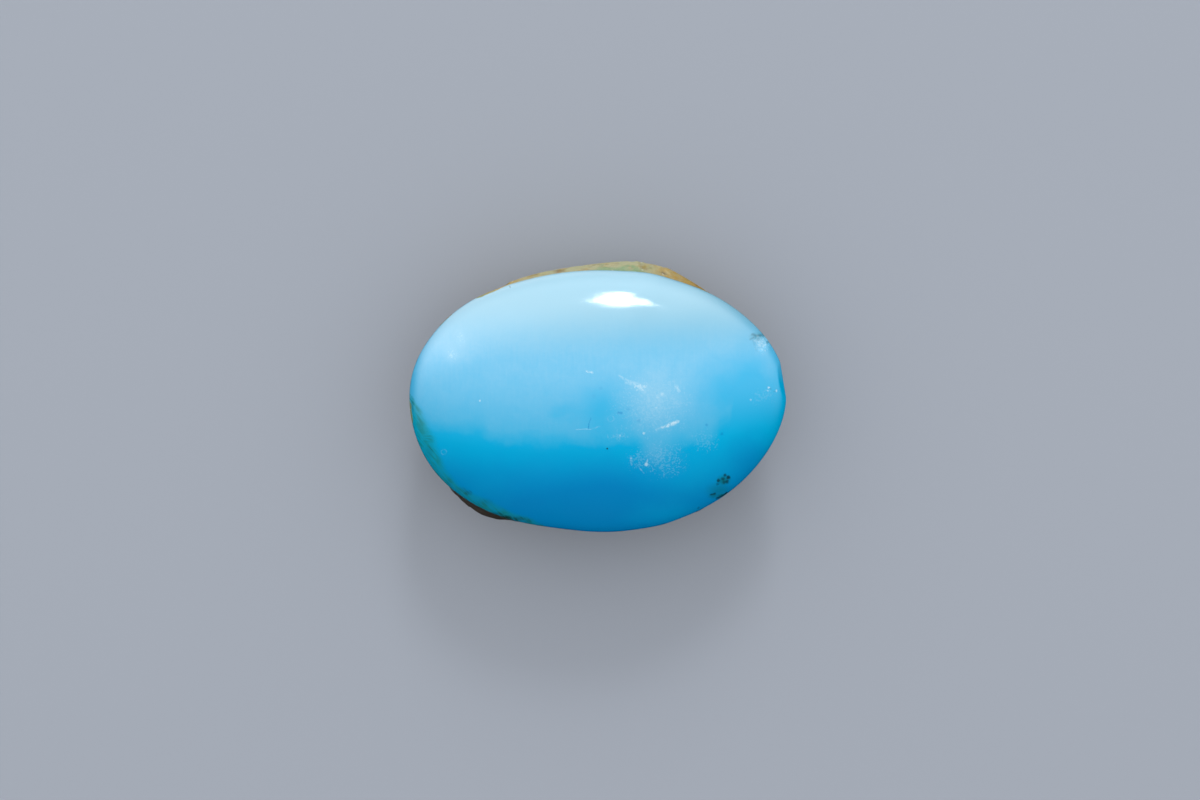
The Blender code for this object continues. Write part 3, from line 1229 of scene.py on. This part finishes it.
def cloud_and_sheen_share(surface):
    """How clouded the blue is, partly real clouding and partly painted sheen: not at all below the clouding's
    edge, and unevenly above it.
    """
    bench = surface.bench
    drift = (bench.noise(surface.place, 1.5, 4.0, 0.62) - 0.5) * 1.3
    above = surface.above_cloud_and_sheen + drift
    share = bench.step(above, -0.05, 1.0, "LINEAR") * 0.25 + bench.step(above, 0.5, 5.0, "LINEAR") * 0.40
    for pixel, half_sizes, change in CLOUD_AND_SHEEN_CHANGES:
        share = share + surface.patch(pixel, half_sizes, 1.0) * change
    wisps = bench.noise(surface.place, 0.9, 5.0, 0.66, 0.8) - 0.5
    curds = bench.noise(surface.place, 0.20, 3.0, 0.65) - 0.5
    brushed = bench.noise(bench.joined(surface.x * 7.0, surface.y * 0.7, 0.0), 1.0, 2.0, 0.6) - 0.5
    share = share * (wisps * 0.6 + curds * 0.30 + brushed * 0.30 + 1.0)
    return bench.most(bench.least(share * bench.step(above, -0.05, 0.35), 1.0), 0.0)


def blue_mark_share(surface):
    """Small marks of a deeper blue."""
    dots = [surface.spot(p, radius) * most for p, radius, most in BLUE_DOTS]
    streaks = [surface.streak(a, b, width) * most for a, b, width, most in BLUE_STREAKS]
    return surface.strongest(dots + streaks) * surface.on_face


def stained(surface, finish, blue):
    """The blue with its green staining along the rim, broken up by the fine lines of its grinding."""
    bench = surface.bench
    levelled = surface.patch(*CROSS_HATCHED)
    lines = surface.lines(-50.0, 0.11) * (1.0 - levelled) + surface.lines(-4.0, 0.11) * levelled
    blotches = bench.step(bench.noise(surface.place, 0.60, 3.0, 0.6), 0.30, 0.65)
    tint = surface.stain * (lines * 0.26 + blotches * 0.16 + 0.34)
    blue = bench.colours(tint, blue, solid(finish.teal))
    strokes = surface.stain * lines * blotches
    blue = bench.colours(strokes * 0.20, blue, solid(finish.bottle_green))
    darkest = surface.strongest([surface.patch(p, half, 0.9) * most for p, half, most in DARK_STAINS])
    return bench.colours(darkest * (lines * 0.5 + 0.5), blue, solid(finish.bottle_green))


def speck_share(surface):
    """Dark specks and hairlines in the face."""
    dots = [surface.spot(p, radius) * most for p, radius, most in DARK_DOTS]
    streaks = [surface.streak(a, b, width) * most for a, b, width, most in DARK_STREAKS]
    return surface.strongest(dots + streaks) * surface.on_face


def scuff_and_glint_share(surface):
    """Pale scuffs, dots, rings and frosted patches on the face, and the chip, all broken up by grain. The pale
    streaks are partly painted glints, and the frosted patches partly painted sheen.
    """
    bench = surface.bench
    beads = bench.step(bench.noise(surface.place, 0.17, 2.0, 0.7), 0.40, 0.60)
    streaks = [surface.streak(a, b, width) * most for a, b, width, most in PALE_STREAKS]
    dots = [surface.spot(p, radius) * most for p, radius, most in PALE_DOTS]
    rings = [surface.ring(p, radius, RING_WIDTH) * most for p, radius, most in RINGS]
    frost = [surface.grained(surface.patch(p, half, 1.0)) * most for p, half, most in FROST_PATCHES]
    pale = [surface.patch(p, half, 1.0) * most for p, half, most in PALE_PATCHES]
    marks = surface.strongest(streaks + rings) * (beads * 0.75 + 0.25)
    share = surface.strongest([marks] + dots + frost) + surface.strongest(pale)
    crumbs = bench.step(bench.noise(surface.place, 0.14, 3.0, 0.7), 0.44, 0.60) * 0.32
    return bench.most(bench.least(share * surface.on_face, 1.0), surface.broken * crumbs)


def matrix_colour(surface, finish):
    """Brown, ochre and olive matrix, darker in its cracks and pits, with green along the contact and painted
    shade under the rim at -Y.
    """
    bench = surface.bench
    place = surface.place
    zones = bench.noise(place, 3.1, 4.0, 0.6, 0.5)
    rock = bench.ramp(
        zones,
        (
            (0.30, finish.brown),
            (0.46, shaded(finish.ochre, 0.7)),
            (0.56, finish.ochre),
            (0.70, finish.olive),
        ),
    )
    veins = bench.maths("ABSOLUTE", bench.noise(place, 1.7, 3.0, 0.6, 0.3) - 0.5)
    rock = bench.colours((1.0 - bench.step(veins, 0.0, 0.035)) * 0.7, rock, solid(finish.brown))
    gaps = bench.step(bench.cells(place, 0.26), 0.30, 0.75)
    rock = bench.colours(gaps * 0.45, rock, solid(finish.umber))
    rock = bench.colours(0.16, rock, bench.cells(place, 0.34, "Color"), "OVERLAY")
    worn = worn_share(surface)
    rock = bench.colours(worn * 0.85, rock, solid(finish.olive))
    rock = bench.colours(rust_share(surface), rock, solid(finish.ochre))
    rock = bench.colours(green_share(surface), rock, solid(finish.green))
    rock = bench.colours(bench.step(surface.sunk, 0.02, 0.15) * 0.8, rock, solid(finish.umber))
    sparkle = 1.0 - bench.step(bench.cells(place, 0.55), 0.06, 0.13)
    rock = bench.colours(sparkle * 0.5, rock, (0.62, 0.62, 0.55, 1.0))
    # Painted shade: the matrix under the rim at -Y made almost umber
    return bench.colours(painted_shade_under_rim(surface) * 0.95, rock, solid(finish.umber))


def worn_share(surface):
    """How far the matrix is worn to a smooth olive skin: on the side at +Y."""
    bench = surface.bench
    side = bench.step(surface.y, 4.6, 6.4) * (1.0 - bench.step(surface.x, 3.6, 5.4))
    ragged = bench.noise(surface.place, 0.9, 4.0, 0.6)
    return side * bench.step(ragged, 0.25, 0.55)


def green_share(surface):
    """Green mineral: a ragged band along the contact, and patches further in."""
    bench = surface.bench
    ragged = bench.noise(surface.place, 0.60, 4.0, 0.65)
    worn = bench.step(surface.y, 5.0, 6.2)
    at_middle = bench.step(surface.x, -0.6, 0.4) * (1.0 - bench.step(surface.x, 1.9, 3.0))
    near = surface.past * (1.0 - worn * at_middle * 0.62) + (ragged - 0.5) * 1.1
    band = (1.0 - bench.step(near, 0.10, 0.42)) * (1.0 - worn + worn * at_middle)
    streaks = bench.noise(surface.place, 1.35, 5.0, 0.62, 0.8)
    patches = bench.step(streaks, 0.60, 0.66) * 0.75
    return bench.most(band * 0.85, patches * (1.0 - worn * 0.8))


def rust_share(surface):
    """Rusty grains at both ends of the worn side."""
    bench = surface.bench
    ends = bench.step(surface.x, 2.6, 3.8) + (1.0 - bench.step(surface.x, -5.0, -2.0)) * 0.75
    grains = bench.step(bench.noise(surface.place, 0.28, 3.0, 0.6), 0.40, 0.60)
    return ends * bench.step(surface.y, 3.0, 5.0) * (grains * 0.5 + 0.45)


def painted_shade_under_rim(surface):
    """Painted shade: the matrix darkened in two lips under the rim at -Y, where the rim shades it."""
    bench = surface.bench
    side = 1.0 - bench.step(surface.y, -5.0, -3.8)
    left = 1.0 - bench.step(surface.x, -4.2, -3.0)
    right = bench.step(surface.x, 4.2, 4.8) * (1.0 - bench.step(surface.x, 5.8, 6.6))
    ragged = bench.noise(surface.place, 0.7, 3.0, 0.6) * 0.8
    return side * (left + right) * bench.step(surface.z + ragged, -1.5, -0.7)


def rock_share(surface):
    """One on the matrix and nought on the blue, with a ragged line between and some blue left beyond it."""
    bench = surface.bench
    ragged = (bench.noise(surface.place, 0.35, 4.0, 0.65) - 0.5) * 0.34
    ragged = ragged * (1.0 - bench.step(surface.y, 4.8, 6.2))
    rock = bench.step(surface.past + ragged, -0.03, 0.03)
    flecks = bench.noise(surface.place, 1.15, 4.0, 0.6, 0.6)
    nearness = 1.0 - bench.step(surface.past, 0.3, 2.6)
    fleck = bench.step(flecks + nearness * 0.13, 0.71, 0.74)
    fleck = fleck * bench.step(surface.past, 0.35, 0.60) * bench.step(surface.inner, 0.05, 0.25)
    return rock * (1.0 - fleck * 0.9)


def roughness_of(surface, finish, rock):
    """Waxy polish on the blue, duller where it is frosted or chipped, and dry matrix."""
    bench = surface.bench
    smears = bench.noise(surface.place, 1.8, 4.0, 0.6, 0.8)
    polish = finish.polish + (smears - 0.5) * 0.06
    frost = surface.strongest([surface.patch(p, half, 1.0) * most for p, half, most in FROST_PATCHES])
    polish = polish + bench.most(frost * 0.5, surface.broken * 0.4)
    dry = finish.rock_roughness + (bench.noise(surface.place, 0.4, 3.0, 0.6) - 0.5) * 0.3
    dry = dry - worn_share(surface) * 0.2
    return polish * (1.0 - rock) + dry * rock


def fine_normal(surface, rock):
    """Grain too fine for the mesh: sandy on the matrix, barely there on the polish."""
    bench = surface.bench
    sand = bench.noise(surface.place, 0.12, 4.0, 0.7) * 0.030
    pores = bench.step(bench.cells(surface.place, 0.2), 0.0, 0.35) * 0.02
    polish = bench.noise(surface.place, 0.13, 3.0, 0.65) * 0.0026
    height = (sand + pores) * rock + polish * (1.0 - rock)
    return bench.node("ShaderNodeBump", {}, {"Strength": 1.0, "Distance": MM, "Height": height})


def stone_material(finish, look):
    """Turquoise and matrix in one material, which meet along the mesh's contact field."""
    material = bpy.data.materials.new("turquoise_and_matrix")
    bench = Bench(material)
    surface = Surface(bench, look)
    rock = rock_share(surface)
    base = bench.colours(rock, turquoise_colour(surface, finish), matrix_colour(surface, finish))
    bench.feed("Principled BSDF", "Base Color", base)
    bench.feed("Principled BSDF", "Roughness", roughness_of(surface, finish, rock))
    bench.feed("Principled BSDF", "Normal", fine_normal(surface, rock))
    bench.feed("Principled BSDF", "IOR", 1.61)
    return material


class STONE_OT_model(bpy.types.Operator):
    """Model the stone's fine mesh and give it its material"""

    bl_idname = "stone.model"
    bl_label = "Model the stone"

    def execute(self, context):
        scene = context.scene
        look = Look(scene.stone_stage)
        shape = model_stone(scene.stone_sizes, look, 1.0)
        set_on_foot(shape)
        mesh = bpy.data.meshes.new("stone")
        shape.to_mesh(mesh)
        shape.free()
        mesh.shade_smooth()
        mesh.set_sharp_from_angle(angle=SHARP_ANGLE)
        mesh.materials.append(stone_material(scene.stone_finish, look))
        stone = bpy.data.objects.new("stone", mesh)
        scene.collection.objects.link(stone)
        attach(stone, "root")
        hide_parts(NODE)
        return {"FINISHED"}


FLOOR_HALF = 3.0
FLOOR_ROUGHNESS = 0.6
LAMP_DISTANCE = 0.62

# Softboxes: name, degrees from overhead towards +Y, degrees aside towards +X, roll, size, share of the power
LAMPS = (
    ("upright_softbox", 61.0, 3.5, 90.0, (0.22, 0.07), 0.45),
    ("level_softbox", 58.0, 8.0, 0.0, (0.20, 0.09), 0.55),
)


def add_floor(scene, stage):
    """A plain floor. Reflections in the stone see the studio's sky in its place."""
    mesh = bmesh.new()
    bmesh.ops.create_grid(mesh, x_segments=1, y_segments=1, size=FLOOR_HALF)
    data = bpy.data.meshes.new("floor")
    mesh.to_mesh(data)
    mesh.free()
    material = bpy.data.materials.new("floor")
    bench = Bench(material)
    bench.feed("Principled BSDF", "Base Color", solid(stage.floor))
    bench.feed("Principled BSDF", "Roughness", FLOOR_ROUGHNESS)
    data.materials.append(material)
    floor = bpy.data.objects.new("floor", data)
    floor.visible_glossy = False
    scene.collection.objects.link(floor)


def add_lamp(scene, name, turn, side, roll, size, power):
    """A softbox beyond the stone, which the dome reflects as part of its highlight."""
    turn, side = math.radians(turn), math.radians(side)
    level = Vector((math.sin(side), math.cos(side), 0.0)) * math.sin(turn)
    away = level + Vector((0.0, 0.0, math.cos(turn)))
    data = bpy.data.lights.new(name, "AREA")
    data.shape = "ELLIPSE"
    data.size, data.size_y = size
    data.energy = power
    lamp = bpy.data.objects.new(name, data)
    lamp.location = RIM_MIDDLE + away * LAMP_DISTANCE
    lamp.rotation_mode = "QUATERNION"
    rolled = Quaternion((0.0, 0.0, 1.0), math.radians(roll))
    lamp.rotation_quaternion = (-away).to_track_quat("-Z", "Y") @ rolled
    lamp.visible_camera = False
    scene.collection.objects.link(lamp)


def set_world(scene, stage):
    """Soft light for matt surfaces, a graded sky for reflections, and the floor's tone for the camera."""
    world = bpy.data.worlds.new("studio")
    bench = Bench(world)
    x, y, z = bench.split(bench.node("ShaderNodeTexCoord", {}, {}, "Generated"))
    soft = stage.sky + bench.step(y, -0.9, 0.9) * stage.sky_slope
    canopy = bench.step(y, -0.46, 0.16) * bench.step(z, -0.45, 0.10) * 1.4
    window = bench.step(y - x * 0.35, 0.35, 0.95) * 2.4
    seen_in_gloss = bench.node("ShaderNodeLightPath", {}, {}, "Is Glossy Ray")
    seen_by_camera = bench.node("ShaderNodeLightPath", {}, {}, "Is Camera Ray")
    strength = soft * (1.0 - seen_in_gloss) + (canopy + window) * seen_in_gloss
    strength = strength * (1.0 - seen_by_camera) + seen_by_camera
    backdrop = solid(shaded(stage.floor, 1.05))
    bench.feed("Background", "Color", bench.colours(seen_by_camera, (1.0, 1.0, 1.0, 1.0), backdrop))
    bench.feed("Background", "Strength", strength)
    world.cycles.sampling_method = "NONE"
    scene.world = world


def add_camera(scene, stage):
    data = bpy.data.cameras.new("camera")
    data.lens = stage.lens
    data.sensor_width = SENSOR_WIDTH
    data.clip_start = 0.01
    data.clip_end = 10.0
    camera = bpy.data.objects.new("camera", data)
    pixel = Look(stage).pixel
    aside = (PHOTO_WIDTH / 2 - FACE_MIDDLE_PIXEL[0]) * pixel
    above = (FACE_MIDDLE_PIXEL[1] - PHOTO_HEIGHT / 2) * pixel
    back = Vector((0.0, math.sin(stage.camera_tilt), math.cos(stage.camera_tilt)))
    up = Vector((0.0, math.cos(stage.camera_tilt), -math.sin(stage.camera_tilt)))
    middle = RIM_MIDDLE + Vector((aside, 0.0, 0.0)) + up * above
    camera.location = middle + back * stage.camera_distance
    camera.rotation_euler = (-stage.camera_tilt, 0.0, 0.0)
    scene.collection.objects.link(camera)
    scene.camera = camera


class STONE_OT_stage(bpy.types.Operator):
    """Set the stage: the floor, the light and the camera"""

    bl_idname = "stone.stage"
    bl_label = "Set the stage"

    def execute(self, context):
        scene = context.scene
        stage = scene.stone_stage
        add_floor(scene, stage)
        for name, turn, side, roll, size, share in LAMPS:
            add_lamp(scene, name, turn, side, roll, size, stage.lamp_power * share)
        set_world(scene, stage)
        add_camera(scene, stage)
        scene.view_settings.view_transform = "Standard"
        return {"FINISHED"}


class STONE_PT_panel(bpy.types.Panel):
    """The stone's operators and settings"""

    bl_idname = "STONE_PT_panel"
    bl_label = "Turquoise stone"
    bl_space_type = "VIEW_3D"
    bl_region_type = "UI"
    bl_category = "Stone"

    def draw(self, context):
        scene = context.scene
        column = self.layout.column()
        for group in (scene.stone_sizes, scene.stone_finish, scene.stone_stage):
            for name in group.__annotations__:
                column.prop(group, name)
        column.operator("stone.model")
        column.operator("stone.stage")


CLASSES = (
    StoneSizes,
    StoneFinish,
    StageSettings,
    STONE_OT_model,
    STONE_OT_stage,
    STONE_PT_panel,
)


def register():
    for cls in CLASSES:
        bpy.utils.register_class(cls)
    bpy.types.Scene.stone_sizes = bpy.props.PointerProperty(type=StoneSizes)
    bpy.types.Scene.stone_finish = bpy.props.PointerProperty(type=StoneFinish)
    bpy.types.Scene.stone_stage = bpy.props.PointerProperty(type=StageSettings)


def unregister():
    del bpy.types.Scene.stone_stage
    del bpy.types.Scene.stone_finish
    del bpy.types.Scene.stone_sizes
    for cls in reversed(CLASSES):
        bpy.utils.unregister_class(cls)


def main():
    register()
    bpy.ops.stone.model()
    bpy.ops.stone.stage()


if __name__ == "__main__":
    main()
